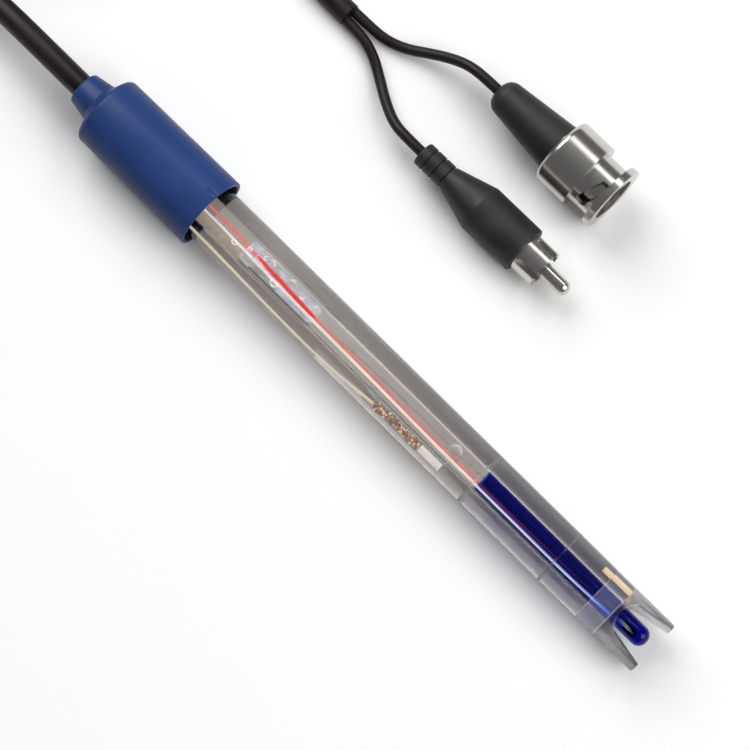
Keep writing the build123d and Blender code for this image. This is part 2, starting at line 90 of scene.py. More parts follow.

# %% [markdown]
# A real cable is a fixed length of something flexible. It leaves the cap's neck along the
# electrode, sinks to the bench under its own weight and is wound into a neat coil for storage.
# Then it comes back and forks into two thin leads. Each is one smooth NURBS curve of order 3
# through listed control points, which gives bends that grow and fade like a real cable's.

# %% Route of the cable, in millimetres
route_out = [
    tuple(cable_exit),
    tuple(cable_straight),
    (-102.0, 0.1, 7.9),
    (-113.0, -0.3, 4.7),
    (-123.0, -1.2, 2.8),
    (-135.0, -1.8, 2.5),
    (-150.0, 3.6, 2.5),
    (-161.0, 15.0, 2.5),
]
route_back = [
    (-159.0, 14.4, 7.6),
    (-170.0, 27.9, 7.2),
    (-173.2, 44.4, 5.0),
    (-166.8, 60.4, 2.7),
    (-154.0, 72.1, 2.5),
    (-136.0, 77.0, 2.5),
    (-118.0, 74.0, 2.5),
    (-102.0, 66.2, 2.5),
    (-86.5, 56.4, 2.5),
    (-70.0, 49.0, 2.5),
    (-53.0, 49.0, 2.5),
]
print("cable points outside the coil", len(route_out) + len(route_back))

# %% Routes of the two leads, in millimetres
route_bayonet = [
    (-53.0, 50.2, 2.5),
    (-48.5, 50.2, 2.5),
    (-44.3, 50.6, 1.74),
    (-40.0, 52.2, 1.74),
    (-36.0, 54.6, 2.63),
    (-32.0, 56.4, 4.5),
    (-28.0, 57.5, 6.36),
    (-24.0, 57.7, 7.25),
    (-20.0, 57.7, 7.25),
]
route_phono = [
    (-53.0, 47.8, 2.5),
    (-48.5, 47.8, 2.5),
    (-43.8, 46.6, 1.8),
    (-39.5, 44.1, 1.5),
    (-34.9, 41.2, 2.6),
    (-30.4, 39.0, 4.2),
    (-26.2, 38.5, 5.2),
    (-22.0, 38.5, 5.2),
]
print("lead points", len(route_bayonet), len(route_phono))

# %% [markdown]
# The coil is wound as a hand would wind it: the turns lie beside each other a cable apart, then
# climb onto a second layer. Two short tables say how far out and how high the cable is after so
# many degrees, and it eases from each step to the next, so it never bends sharply.

# %% The coil's turns, in degrees and millimetres
coil_centre = (-134.0, 37.5)
coil_steps = [(50, 35.2), (70, 34), (360, 34), (410, 29), (720, 29), (770, 24)]
coil_steps += [(1335, 24), (1385, 29), (1440, 29), (1487, 34)]
climb_steps = [(1030, 2.5), (1080, 7.5), (1487, 7.5)]
coil_angles = range(65, 1475, 15)


def eased(steps, at):
    """The value at a place among (place, value) steps, easing from each to the next."""
    if at <= steps[0][0]:
        return steps[0][1]
    for (start, low), (end, high) in zip(steps, steps[1:]):
        if at <= end:
            share = (at - start) / (end - start)
            return low + (high - low) * share * share * (3 - 2 * share)
    return steps[-1][1]


def coil_point(angle):
    """A point of the coil, where the angle counts clockwise from the turn nearest the electrode."""
    radius = eased(coil_steps, angle)
    turned = math.radians(angle)
    x = coil_centre[0] - radius * math.sin(turned)
    y = coil_centre[1] - radius * math.cos(turned)
    return (x, y, eased(climb_steps, angle))


route_coil = [coil_point(angle) for angle in coil_angles]
print("coil points", len(route_coil))

# %% [markdown]
# One helper makes every round cord and wire of the object. The bevel is one metre deep and each
# point carries the real radius, because Blender adds a point's radius to the curve's box.


# %% Helpers for cords and wires
def round_curve(name, points, sides, steps):
    """A smooth round cord along (place, radius) points in metres, which rides on the electrode."""
    curve = bpy.data.curves.new(name, "CURVE")
    curve.dimensions = "3D"
    curve.bevel_depth = 1.0
    curve.bevel_resolution = sides
    curve.resolution_u = steps
    curve.use_fill_caps = True
    spline = curve.splines.new("NURBS")
    spline.points.add(len(points) - 1)
    for point, (place, radius) in zip(spline.points, points):
        point.co = (*place, 1)
        point.radius = radius
    spline.order_u = 3
    spline.use_endpoint_u = True
    cord = bpy.data.objects.new(name, curve)
    bpy.context.collection.objects.link(cord)
    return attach(cord, "electrode")


def cord_curve(name, route, diameter):
    """A free cord of one diameter along control points, all in millimetres."""
    radius = diameter / 2 * MM
    return round_curve(name, [(Vector(place) * MM, radius) for place in route], sides=7, steps=10)


def curve_length(cord):
    """The length of a cord's centreline, in metres."""
    bare = cord.data.copy()
    bare.bevel_depth = 0
    probe = bpy.data.objects.new("probe", bare)
    mesh = bpy.data.meshes.new_from_object(probe)
    runs = [[mesh.vertices[i].co for i in edge.vertices] for edge in mesh.edges]
    length = sum((start - end).length for start, end in runs)
    bpy.data.meshes.remove(mesh)
    bpy.data.objects.remove(probe)
    bpy.data.curves.remove(bare)
    return length


# %% [markdown]
# Each cord replaces the plain solids that stood for it, and its length is measured on the finished
# curve, by turning a copy without thickness into a mesh.

# %% Make the cable and its two leads
cable_diameter = 5.0
lead_diameter = 2.2
cable = cord_curve("cable", route_out + route_coil + route_back, cable_diameter)
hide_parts("cable_out", "cable_coil", "cable_return")
lead_to_bayonet = cord_curve("lead_to_bayonet", route_bayonet, lead_diameter)
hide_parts("lead_bayonet")
lead_to_phono = cord_curve("lead_to_phono", route_phono, lead_diameter)
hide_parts("lead_phono")
cords = (cable, lead_to_bayonet, lead_to_phono)
cord_lengths = [round(curve_length(cord), 4) for cord in cords]
print("cord lengths in metres", cord_lengths)

# %% [markdown]
# The stage is a plain pale floor, a dim white world and soft lamps off both ends of the electrode.
# A round bar shows a lamp as a streak only where the lamp is beside it, so lamps at the ends
# light the shaft and leave its clear wall free of glare. A small lamp at the far side draws one
# thin line along the shaft, as in the photograph.

# %% World and light paths
light_bounces = 24  # enough for a ray to cross every clear wall of the shaft
scene = bpy.context.scene
scene.view_settings.view_transform = "Standard"
scene.cycles.max_bounces = light_bounces
scene.cycles.transmission_bounces = light_bounces
scene.cycles.transparent_max_bounces = light_bounces

world = bpy.data.worlds.new("studio_air")
scene.world = world
world.use_nodes = True
world_light = world.node_tree.nodes["Background"]
world_light.inputs["Color"].default_value = (1, 1, 1, 1)
world_light.inputs["Strength"].default_value = 0.12
print("world strength", round(world_light.inputs["Strength"].default_value, 2))


# %% Lamps
def soft_lamp(name, place, size, power):
    """A square lamp of a size in metres and a power in watts, aimed at the object."""
    data = bpy.data.lights.new(name, "AREA")
    data.shape = "SQUARE"
    data.size = size
    data.energy = power
    lamp = bpy.data.objects.new(name, data)
    bpy.context.collection.objects.link(lamp)
    lamp.location = place
    lamp.rotation_mode = "QUATERNION"
    lamp.rotation_quaternion = (-Vector(place)).to_track_quat("-Z", "Y")


soft_lamp("tip_lamp", (0.95, 0.3, 0.95), size=1.1, power=14.0)
soft_lamp("cable_lamp", (-0.95, 0.3, 0.95), size=1.1, power=14.0)
soft_lamp("far_lamp", (0.0, 0.84, 0.98), size=0.35, power=1.25)
print("lamps", len(bpy.data.lights))

# %% Bench top
bench_half_width = 3.0
floor_mesh = bpy.data.meshes.new("bench_top")
floor_shape = bmesh.new()
bmesh.ops.create_grid(floor_shape, x_segments=1, y_segments=1, size=bench_half_width)
floor_shape.to_mesh(floor_mesh)
floor_shape.free()
floor = bpy.data.objects.new("bench_top", floor_mesh)
bpy.context.collection.objects.link(floor)
print("bench top", floor.name)

# %% [markdown]
# Every finish below starts from the same few lines: a material with its one Principled shader, and
# the place on the piece in millimetres, so that the sizes in a pattern are real sizes.


# %% Helpers for materials
def finish(name, color, roughness, **sockets):
    """A new material and its shader, with plain values on the shader's own sockets."""
    material = bpy.data.materials.new(name)
    material.use_nodes = True
    shader = material.node_tree.nodes["Principled BSDF"]
    shader.inputs["Base Color"].default_value = (*color, 1)
    shader.inputs["Roughness"].default_value = roughness
    for socket, value in sockets.items():
        shader.inputs[socket.replace("_", " ")].default_value = value
    return material, shader


def from_screen(*levels):
    """A colour in light values from the red, green and blue of 0 to 255 that a screen shows."""
    shares = [level / 255 for level in levels]
    return tuple(((v + 0.055) / 1.055) ** 2.4 if v > 10 / 255 else v / 12.92 for v in shares)


# %% Helpers for shader nodes
def feed(tree, socket, value):
    """Gives an input socket a plain value, or a link where the value is an output socket."""
    if isinstance(value, bpy.types.NodeSocket):
        tree.links.new(value, socket)
    else:
        socket.default_value = value


def new_node(tree, kind, **values):
    """A node whose attributes and inputs are set by name."""
    node = tree.nodes.new(kind)
    for key, value in values.items():
        if hasattr(node, key):
            setattr(node, key, value)
        else:
            feed(tree, node.inputs[key.replace("_", " ")], value)
    return node


def calculate(tree, operation, *values):
    """The result of one Math node, whose inputs are fed in order."""
    node = new_node(tree, "ShaderNodeMath", operation=operation)
    for socket, value in zip(node.inputs, values):
        feed(tree, socket, value)
    return node.outputs["Value"]


def millimetres(tree, stretch=(1, 1, 1)):
    """Object coordinates in millimetres, stretched along the axes if asked."""
    place = new_node(tree, "ShaderNodeTexCoord").outputs["Object"]
    scale = [1000 * share for share in stretch]
    return new_node(tree, "ShaderNodeMapping", Vector=place, Scale=scale).outputs["Vector"]


# %% [markdown]
# The photograph shows the object on pure white. White paper would also throw white light up at
# the object, so the floor is white only to the camera and to rays that glass and metal send, and
# darker for the light that it throws back. Metal sees most of the white, which keeps some edge.

# %% Floor
grey_paper = (0.15, 0.15, 0.15, 1)
white_paper = (0.97, 0.97, 0.97, 1)
white_seen_in_metal = 0.8

floor_finish, floor_shader = finish("bench_paper", (0.95, 0.95, 0.95), 0.9, Specular_IOR_Level=0.0)
floor_tree = floor_finish.node_tree
rays = new_node(floor_tree, "ShaderNodeLightPath").outputs
in_metal = calculate(floor_tree, "MULTIPLY", rays["Is Glossy Ray"], white_seen_in_metal)
seen = calculate(floor_tree, "MAXIMUM", rays["Is Camera Ray"], in_metal)
seen = calculate(floor_tree, "MAXIMUM", seen, rays["Is Transmission Ray"])
paper = new_node(
    floor_tree, "ShaderNodeMix", data_type="RGBA", Factor=seen, A=grey_paper, B=white_paper
)
feed(floor_tree, floor_shader.inputs["Base Color"], paper.outputs["Result"])
floor.data.materials.append(floor_finish)
print("floor nodes", len(floor_tree.nodes))

# %% [markdown]
# Plastic that comes from a mould is never one flat tone. A node group makes a fine grain for the
# bump and a slow cloudy change of tone, and each plastic and rubber uses it with its own values.


# %% Shader group: moulded surface
def add_sockets(group, direction, **kinds):
    """Named input or output sockets of a group."""
    for name, kind in kinds.items():
        group.interface.new_socket(
            name.replace("_", " "), in_out=direction, socket_type="NodeSocket" + kind
        )


moulded_group = bpy.data.node_groups.new("moulded_surface", "ShaderNodeTree")
add_sockets(
    moulded_group,
    "INPUT",
    Place="Vector",
    Color="Color",
    Grain_size="Float",
    Cloud_size="Float",
    Cloud_strength="Float",
    Gloss_change="Float",
    Roughness="Float",
)
add_sockets(moulded_group, "OUTPUT", Color="Color", Roughness="Float", Height="Float")
given = new_node(moulded_group, "NodeGroupInput").outputs
print("group inputs", [socket.name for socket in given if socket.name])


# %% Inside the group: grain, clouds, and what the clouds change
def noise_of_size(size, detail):
    """A noise whose lumps have a given size in millimetres."""
    scale = calculate(moulded_group, "DIVIDE", 1.0, size)
    return new_node(
        moulded_group, "ShaderNodeTexNoise", Vector=given["Place"], Scale=scale, Detail=detail
    ).outputs["Fac"]


grain = noise_of_size(given["Grain size"], 2.0)
cloud = noise_of_size(given["Cloud size"], 4.0)
spread = new_node(
    moulded_group, "ShaderNodeMapRange", Value=cloud, From_Min=0.3, From_Max=0.7, To_Min=-1.0
).outputs["Result"]
change = calculate(moulded_group, "MULTIPLY_ADD", spread, given["Cloud strength"], 1.0)
tone = new_node(
    moulded_group, "ShaderNodeVectorMath", operation="SCALE", Vector=given["Color"], Scale=change
)
gloss = calculate(moulded_group, "MULTIPLY_ADD", spread, given["Gloss change"], given["Roughness"])
new_node(
    moulded_group, "NodeGroupOutput", Color=tone.outputs["Vector"], Roughness=gloss, Height=grain
)
print("group nodes", len(moulded_group.nodes))

# %% [markdown]
# The pieces inside the shaft get little light through the clear walls, so those finishes have a
# small glow of their own colour. It stands in for the light that a real clear shaft gathers.


# %% Helper for moulded finishes
def moulded(
    name, color, roughness, grain=0.25, cloud=6.0, strength=0.12, bump=0.01, glow=0.0, **sockets
):
    """A plastic, rubber or other plain surface. Sizes are in millimetres."""
    material, shader = finish(name, color, roughness, **sockets)
    shader.inputs["Emission Color"].default_value = (*color, 1)
    shader.inputs["Emission Strength"].default_value = glow
    tree = material.node_tree
    surface = new_node(
        tree,
        "ShaderNodeGroup",
        node_tree=moulded_group,
        Place=millimetres(tree),
        Color=(*color, 1),
        Grain_size=grain,
        Cloud_size=cloud,
        Cloud_strength=strength,
        Gloss_change=0.08,
        Roughness=roughness,
    ).outputs
    relief = new_node(
        tree, "ShaderNodeBump", Distance=bump * MM, Strength=1.0, Height=surface["Height"]
    )
    feed(tree, shader.inputs["Base Color"], surface["Color"])
    feed(tree, shader.inputs["Roughness"], surface["Roughness"])
    feed(tree, shader.inputs["Normal"], relief.outputs["Normal"])
    return material


# %% [markdown]
# Blacks are kept a little above zero and whites a little below one, because nothing real sends
# back no light, or all of it. The metals are plain, since their look comes from what they mirror.

# %% Finishes of the cap, the cable and the plugs
cap_blue = moulded(
    "cap_blue", from_screen(41, 66, 121), 0.35,
    grain=0.3, cloud=9.0, strength=0.06, Specular_IOR_Level=0.24,
)
# painted shade: the walls of the cap's deep recess are darkened where shade falls
cap_recess_painted_shade = moulded("cap_recess_painted_shade", from_screen(20, 26, 56), 0.6, cloud=3.0, strength=0.2)
cable_black = moulded(
    "cable_black", (0.015, 0.009, 0.009), 0.42,
    grain=0.2, cloud=12.0, strength=0.25, Specular_IOR_Level=0.3,
)
boot_black = moulded(
    "boot_black", (0.016, 0.016, 0.018), 0.5, grain=0.22, cloud=5.0, strength=0.2, bump=0.02
)
resin_dark = moulded("resin_dark", (0.012, 0.012, 0.014), 0.35, cloud=3.0, strength=0.2)
insulator_white = moulded("insulator_white", (0.8, 0.8, 0.77), 0.35, strength=0.04)
gasket_red = moulded("gasket_red", (0.35, 0.03, 0.02), 0.55)
nickel, _ = finish("nickel", (0.72, 0.70, 0.66), 0.22, Metallic=1.0)
gold, _ = finish("gold", (0.85, 0.62, 0.25), 0.2, Metallic=1.0)
print("materials", len(bpy.data.materials))

# %% Finishes of the wires and the core inside the shaft
core_grey = moulded(
    "core_grey", from_screen(190, 177, 162), 0.5, cloud=0.9, strength=0.25, glow=0.12
)
silver_dull = moulded("silver_dull", (0.5, 0.38, 0.31), 0.45, cloud=1.5, strength=0.3, glow=0.05)
red_enamel = moulded("red_enamel", (0.95, 0.075, 0.07), 0.3, cloud=4.0, strength=0.06, glow=0.45)
white_enamel = moulded("white_enamel", (0.97, 0.95, 0.92), 0.35, cloud=4.0, strength=0.03, glow=0.5)
cream_enamel = moulded("cream_enamel", (0.95, 0.8, 0.62), 0.35, cloud=3.0, strength=0.08, glow=0.4)
bead_black = moulded("bead_black", (0.004, 0.003, 0.003), 0.2, cloud=0.6, strength=0.4)
# gold and glowing, the bead's legs also serve as painted glints near the bulb's glass
gold_leg_and_glint = moulded("gold_leg_and_glint", (0.9, 0.75, 0.4), 0.3, cloud=0.4, strength=0.4, glow=0.6)
print("materials", len(bpy.data.materials))

# %% Finishes of the wool, the ceramic pin, the grains and the curls
wool_white = moulded(
    "wool_white", (0.9, 0.86, 0.83), 0.9, grain=0.12, cloud=0.8, strength=0.15, bump=0.05, glow=0.45
)
ceramic_cream = moulded(
    "ceramic_cream", (1.0, 0.74, 0.47), 0.75, grain=0.1, cloud=1.0, strength=0.05, glow=0.75
)
chloride_brown = moulded(
    "chloride_brown", from_screen(176, 140, 120), 0.7,
    grain=0.15, cloud=0.45, strength=0.9, glow=0.22,
)
curl_cream = moulded(
    "curl_cream", (0.95, 0.92, 0.84), 0.4, grain=0.1, cloud=0.8, strength=0.05, glow=0.7
)
print("materials", len(bpy.data.materials))

# %% [markdown]
# Milky plastic, bond lines and haze scatter a little light and let the rest through. A volume
# that truly scatters would be slow and noisy, so each is a thin veil: an opaque finish whose
# Alpha is low, and whose glow is painted light. They go on chosen walls of the plug, the sleeve
# and the stem's filling.

# %% Veils and frosted edges, with a glow of painted light
# The cream bond lines at the plug's ends are also painted highlights, bright lines along those
# edges.
bond_line_and_highlight = moulded(
    "bond_line_and_highlight", (1.0, 0.92, 0.85), 0.5, grain=0.08, cloud=0.5, strength=0.3, glow=0.3, Alpha=0.3
)
plug_milky = moulded(
    "plug_milky", (0.62, 0.68, 0.85), 0.5, grain=0.2, cloud=1.5, strength=0.2, glow=0.25, Alpha=0.09
)
haze_and_painted_light = moulded(
    "haze_and_painted_light", (0.8, 0.77, 0.73), 0.6, grain=0.3, cloud=2.5, strength=0.15, glow=0.45, Alpha=0.22
)
# The frosted cut edge also glows: painted light for the bright line along the cut.
prong_edge = moulded(
    "prong_edge", (0.95, 0.9, 0.86), 0.5, grain=0.08, cloud=0.6, strength=0.1, glow=0.15
)
print("materials", len(bpy.data.materials))

# %% [markdown]
# The shaft is a set of clear things inside each other: a plastic tube, a gel, a glass stem and a
# blue buffer. Light bends by the ratio of the two indices that meet at a wall, so each wall is
# one surface whose index is that ratio: 1.585 where plastic meets air, 1.585 / 1.34 where it
# meets gel. The gel itself has no wall of its own, only a faint tint in its volume.
# A dim Specular Tint holds the mirror images back, which so many close walls would pile up.

# %% Helper for clear finishes
plastic_index = 1.585
glass_index = 1.5
gel_index = 1.34
sleeve_index = 1.42
plug_index = 1.4
bubble_index = 1 / 1.16
dim_reflection = (0.45, 0.45, 0.45, 1)


def clear(name, color, ior, roughness=0.0, tint=None, density=0.0):
    """A clear wall with the ratio of the two indices that meet there, and the tint behind it."""
    material, _ = finish(
        name, color, roughness, IOR=ior, Transmission_Weight=1.0, Specular_Tint=dim_reflection
    )
    if tint:
        tree = material.node_tree
        depth = new_node(tree, "ShaderNodeVolumeAbsorption", Density=density, Color=(*tint, 1))
        feed(tree, tree.nodes["Material Output"].inputs["Volume"], depth.outputs["Volume"])
    return material


# %% Clear finishes of the tube and the prongs
plain_plastic = (1.0, 0.995, 0.985)
# painted shade: the darker tint that the outer wall takes towards the tip and the far side
plastic_in_painted_shade = (0.64, 0.63, 0.64)
plastic_to_air = clear("plastic_to_air", plain_plastic, plastic_index)
plastic_to_gel = clear("plastic_to_gel", (0.98, 0.97, 0.96), plastic_index / gel_index)
plastic_to_plug = clear("plastic_to_plug", (0.97, 0.97, 0.97), plastic_index / plug_index)
# The prongs' grey tint is painted shade: it darkens them as the shade under them would.
prong_plastic_painted_shade = clear("prong_plastic_painted_shade", (0.62, 0.61, 0.62), plastic_index, roughness=0.27)
scribed_ring = clear("scribed_ring", (1.0, 0.99, 0.99), plastic_index, roughness=0.35)
print("materials", len(bpy.data.materials))

# %% Clear finishes of the plug, the glass, the sleeve and what fills them
plug_to_gel = clear("plug_to_gel", (0.95, 0.95, 1.0), plug_index / gel_index)
plug_to_air = clear("plug_to_air", (0.95, 0.95, 1.0), plug_index)
glass_to_air = clear("glass_to_air", (0.42, 0.42, 0.42), glass_index)
glass_to_gel = clear("glass_to_gel", (1, 1, 1), glass_index / gel_index)
glass_to_plug = clear("glass_to_plug", (1, 1, 1), glass_index / plug_index)
sleeve_to_gel = clear("sleeve_to_gel", (0.97, 0.97, 0.97), sleeve_index / gel_index)
bonded = clear("bonded", (0.96, 0.96, 1.0), 1.0)
air_in_gel = clear("air_in_gel", (1, 1, 1), bubble_index)
gel_tinted = clear("gel_tinted", (1, 1, 1), 1.0, tint=(0.74, 0.7, 0.64), density=52.0)
buffer_blue = clear("buffer_blue", (1, 1, 1), 1.0, tint=(0.0, 0.35, 0.981), density=6000.0)
print("materials", len(bpy.data.materials))

# %% [markdown]
# In the photograph the clear shaft darkens towards its tip and along its far side, where it shows
# shade. That shade is painted into the wall here: two Map Range nodes measure how far along and
# how far across a point of the wall lies, and their product blends the plain tint into a darker
# one, the painted shade.

# %% Painted shade on the tube's outer wall, with places in metres
painted_shade_along = {"From_Min": -0.055, "From_Max": 0.025, "To_Min": 0.15}
painted_shade_across = {"From_Min": -0.001, "From_Max": 0.003}

wall = plastic_to_air.node_tree
wall_place = new_node(wall, "ShaderNodeTexCoord").outputs["Object"]
parts = new_node(wall, "ShaderNodeSeparateXYZ", Vector=wall_place).outputs
along = new_node(wall, "ShaderNodeMapRange", Value=parts["X"], **painted_shade_along).outputs["Result"]
across = new_node(wall, "ShaderNodeMapRange", Value=parts["Y"], **painted_shade_across).outputs["Result"]
painted_shade_amount = calculate(wall, "MULTIPLY", along, across)
blend = new_node(
    wall,
    "ShaderNodeMix",
    data_type="RGBA",
    Factor=painted_shade_amount,
    A=(*plain_plastic, 1),
    B=(*plastic_in_painted_shade, 1),
)
feed(wall, wall.nodes["Principled BSDF"].inputs["Base Color"], blend.outputs["Result"])
print("nodes of the tube's wall", len(wall.nodes))

# %% [markdown]
# Nearly every piece of the electrode is round, so its natural tool is the lathe: a few points of a
# half outline are spun about the axis. The pieces are made in the electrode's own millimetres,
# with x = 0 at the cap's rim, and laid on the bench by one matrix at the very end.

# %% Lathe, and rounding of a lathe's edge
electrode_place = (
    Matrix.Translation(rim_centre * MM)
    @ Matrix.Rotation(shaft_tilt, 4, "Y")
    @ Matrix.Scale(MM, 4)
)


def lathe(outline, steps=96):
    """A closed shape spun about the X axis from a closed outline of (x, radius) points."""
    shape = bmesh.new()
    rim = [shape.verts.new((x, 0, radius)) for x, radius in outline]
    edges = [shape.edges.new((a, b)) for a, b in zip(rim, rim[1:])]
    if outline[0][1] > 0 or outline[-1][1] > 0:
        edges.append(shape.edges.new((rim[-1], rim[0])))
    bmesh.ops.spin(
        shape,
        geom=rim + edges,
        axis=(1, 0, 0),
        cent=(0, 0, 0),
        angle=math.tau,
        steps=steps,
        use_merge=True,
    )
    bmesh.ops.remove_doubles(shape, verts=shape.verts, dist=0.0005)
    bmesh.ops.recalc_face_normals(shape, faces=shape.faces)
    return shape


def is_at(vertex, x, radius, reach=0.01):
    """Whether a vertex lies at one x and one distance from the electrode's axis."""
    off_axis = math.hypot(vertex.co.y, vertex.co.z)
    return abs(vertex.co.x - x) < reach and abs(off_axis - radius) < reach


def round_ring(shape, x, radius, size, segments=4):
    """Rounds the ring of edges that lies at one x and one radius."""
    ring = [e for e in shape.edges if all(is_at(v, x, radius) for v in e.verts)]
    bmesh.ops.bevel(
        shape,
        geom=ring,
        offset=size,
        offset_type="OFFSET",
        segments=segments,
        profile=0.5,
        affect="EDGES",
        material=-1,
        clamp_overlap=True,
    )


# %% [markdown]
# A finished shape is shaded smooth, with a crease where two faces meet at a real edge. One piece
# can have several walls of different finish, so each wall is told by a zone: a test on how far
# along the axis and how far from it a face lies. The last zone that fits a face wins.


# %% From a shape to a piece on the bench
def shade(shape, sharp=35):
    """Smooth faces, with a crease where two faces meet at more than some degrees."""
    for face in shape.faces:
        face.smooth = True
    for edge in shape.edges:
        edge.smooth = edge.calc_face_angle(0) < math.radians(sharp)


def to_object(name, shape):
    """Lays a finished shape on the bench as an object, which stays where its mesh is."""
    shape.transform(electrode_place)
    mesh = bpy.data.meshes.new(name)
    shape.to_mesh(mesh)
    shape.free()
    made = bpy.data.objects.new(name, mesh)
    bpy.context.collection.objects.link(made)
    return made


def put(name, shape, material, stands_for=(), sharp=35, zones=()):
    """Makes a shape a piece of the electrode. Zones are (material, test on x and radius)."""
    for face in shape.faces:
        middle = face.calc_center_median()
        for index, (_, test) in enumerate(zones, start=1):
            if test(middle.x, math.hypot(middle.y, middle.z)):
                face.material_index = index
    shade(shape, sharp)
    piece = to_object(name, shape)
    for each in [material] + [zone[0] for zone in zones]:
        piece.data.materials.append(each)
    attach(piece, "electrode")
    if stands_for:
        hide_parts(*stands_for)
    print(name, len(piece.data.polygons), "faces")
    return piece


# %% [markdown]
# A cut is a Boolean with a loose block as its knife. Its result replaces the piece's mesh at once
# and the knife is thrown away, so that no modifier is left on the piece.


# %% Cutting and turning
def cut(piece, cutter_name, shape):
    """Cuts a closed shape out of a finished piece."""
    bmesh.ops.recalc_face_normals(shape, faces=shape.faces)
    tool = to_object(cutter_name, shape)
    knife = piece.modifiers.new("cut", "BOOLEAN")
    knife.object = tool
    knife.operation = "DIFFERENCE"
    knife.solver = "EXACT"
    bpy.context.view_layer.update()
    graph = bpy.context.evaluated_depsgraph_get()
    mesh = bpy.data.meshes.new_from_object(piece.evaluated_get(graph))
    piece.modifiers.clear()
    cut_shape = bmesh.new()
    cut_shape.from_mesh(mesh)
    bmesh.ops.remove_doubles(cut_shape, verts=cut_shape.verts, dist=1e-7)
    shade(cut_shape)
    cut_shape.to_mesh(piece.data)
    cut_shape.free()
    bpy.data.meshes.remove(mesh)
    bpy.data.objects.remove(tool)
    print(piece.name, len(piece.data.polygons), "faces after", cutter_name)


def turn_verts(shape, verts, degrees, axis):
    """Turns some vertices of a shape about an axis through its origin."""
    matrix = Matrix.Rotation(math.radians(degrees), 3, axis)
    bmesh.ops.rotate(shape, cent=(0, 0, 0), matrix=matrix, verts=verts)


# %% [markdown]
# The head cap is one blue moulding: a plain barrel, a rounded shoulder and a short tapered neck
# that saves the cable from a sharp bend. It is one lathe outline whose rings are then rounded.
# The open end has a deep recess round the shaft, which looks nearly black from above; its walls
# get a dark blue-black finish there, which is painted shade.

# %% Head cap
shoulder_radius = 7.75
rim_bore = 7.2
cap = lathe(
    [
        (-neck_reach, 2.53),
        (-neck_reach, 3.5),
        (-31.1, 4.4),
        (-29.5, shoulder_radius),
        (0.0, cap_radius),
        (0.0, rim_bore),
        (-5.0, rim_bore),
        (-5.0, 5.82),
        (-18.5, 5.82),
        (-18.5, 5.2),
        (-27.0, 5.2),
        (-27.0, 2.53),
    ],
    steps=128,
)
round_ring(cap, -neck_reach, 3.5, 0.5)
round_ring(cap, -31.1, 4.4, 0.5, 5)
round_ring(cap, -29.5, shoulder_radius, 0.7, 6)
round_ring(cap, 0.0, cap_radius, 0.15, 3)
round_ring(cap, 0.0, rim_bore, 0.12, 3)
cap_piece = put(
    "cap",
    cap,
    cap_blue,
    stands_for=("head_cap",),
    zones=[(cap_recess_painted_shade, lambda x, r: -30 < x < -0.05 and r < 7.3)],
)

# %% [markdown]
# A short shallow notch near the rim is a mark of the mould. A small rounded block is sunk into
# the barrel and cut away, so the notch has real walls that catch the light.

# %% Moulding mark near the rim
mark_size = (2.2, 0.9, 0.36)
mark_middle = (-1.4, 0, 7.98)
mark = bmesh.new()
bmesh.ops.create_cube(mark, size=1.0)
bmesh.ops.scale(mark, vec=mark_size, verts=mark.verts)
bmesh.ops.bevel(
    mark,
    geom=mark.edges[:],
    offset=0.11,
    offset_type="OFFSET",
    segments=2,
    profile=0.5,
    affect="EDGES",
    material=-1,
)
bmesh.ops.translate(mark, vec=mark_middle, verts=mark.verts)
turn_verts(mark, mark.verts, -12, "X")
cut(cap_piece, "mark_cutter", mark)

# %% [markdown]
# The shaft is a clear tube whose end is cut to two guard prongs. It is spun first. Two narrow
# bands of its outer wall get their own points in the outline, because each carries a scribed
# ring: a rougher clear finish draws it there, and the wall itself stays flat.

# %% Shaft tube
tube_bore = 5.0
tube_end = 120.0
plug_start = 105.0
plug_end = 109.9
upper_ring = (73.6, 74.0)
lower_ring = (95.0, 95.4)


def on_ring(x, r):
    """Whether a face of the tube lies in one of the two scribed rings."""
    return r > 5.9 and any(start < x < end for start, end in (upper_ring, lower_ring))


tube = lathe(
    [
        (-18.47, tube_bore),
        (-18.47, 5.8),
        (-4.7, 5.8),
        (-4.7, tube_radius),
        (upper_ring[0], tube_radius),
        (upper_ring[1], tube_radius),
        (lower_ring[0], tube_radius),
        (lower_ring[1], tube_radius),
        (plug_end, tube_radius),
        (tube_end, tube_radius),
        (tube_end, tube_bore),
        (plug_end, tube_bore),
        (plug_start, tube_bore),
        (-7.0, tube_bore),
    ],
    steps=160,
)
round_ring(tube, tube_end, tube_radius, 0.4, 3)
round_ring(tube, tube_end, tube_bore, 0.25, 3)
tube_piece = put(
    "tube",
    tube,
    plastic_to_air,
    stands_for=("shaft_tube",),
    zones=[
        (plastic_to_gel, lambda x, r: r < 5.01 and x < plug_start),
        (plastic_to_plug, lambda x, r: r < 5.01 and plug_start < x < plug_end),
        (prong_plastic_painted_shade, lambda x, r: x > 110),
        (scribed_ring, on_ring),
    ],
)

# %% [markdown]
# The gap between the prongs is cut right through with a tulip-shaped block, as a milling cutter
# would. The block's outline is drawn for one side, mirrored, and pulled out past the tube.

# %% Gap between the guard prongs
past_tube = 8
gap_half = [(110.7, 0.0), (110.75, 0.8), (110.95, 1.6), (111.3, 2.3), (111.8, 2.9), (112.4, 3.3)]
gap_half += [(120.0, 4.6), (122.0, 4.6)]
gap_outline = gap_half + [(x, -y) for x, y in reversed(gap_half[1:])]
gap = bmesh.new()
gap_face = gap.faces.new([gap.verts.new((x, y, -past_tube)) for x, y in gap_outline])
lifted = bmesh.ops.extrude_face_region(gap, geom=[gap_face])
lifted_verts = [item for item in lifted["geom"] if isinstance(item, bmesh.types.BMVert)]
bmesh.ops.translate(gap, verts=lifted_verts, vec=(0, 0, 2 * past_tube))
cut(tube_piece, "gap_cutter", gap)

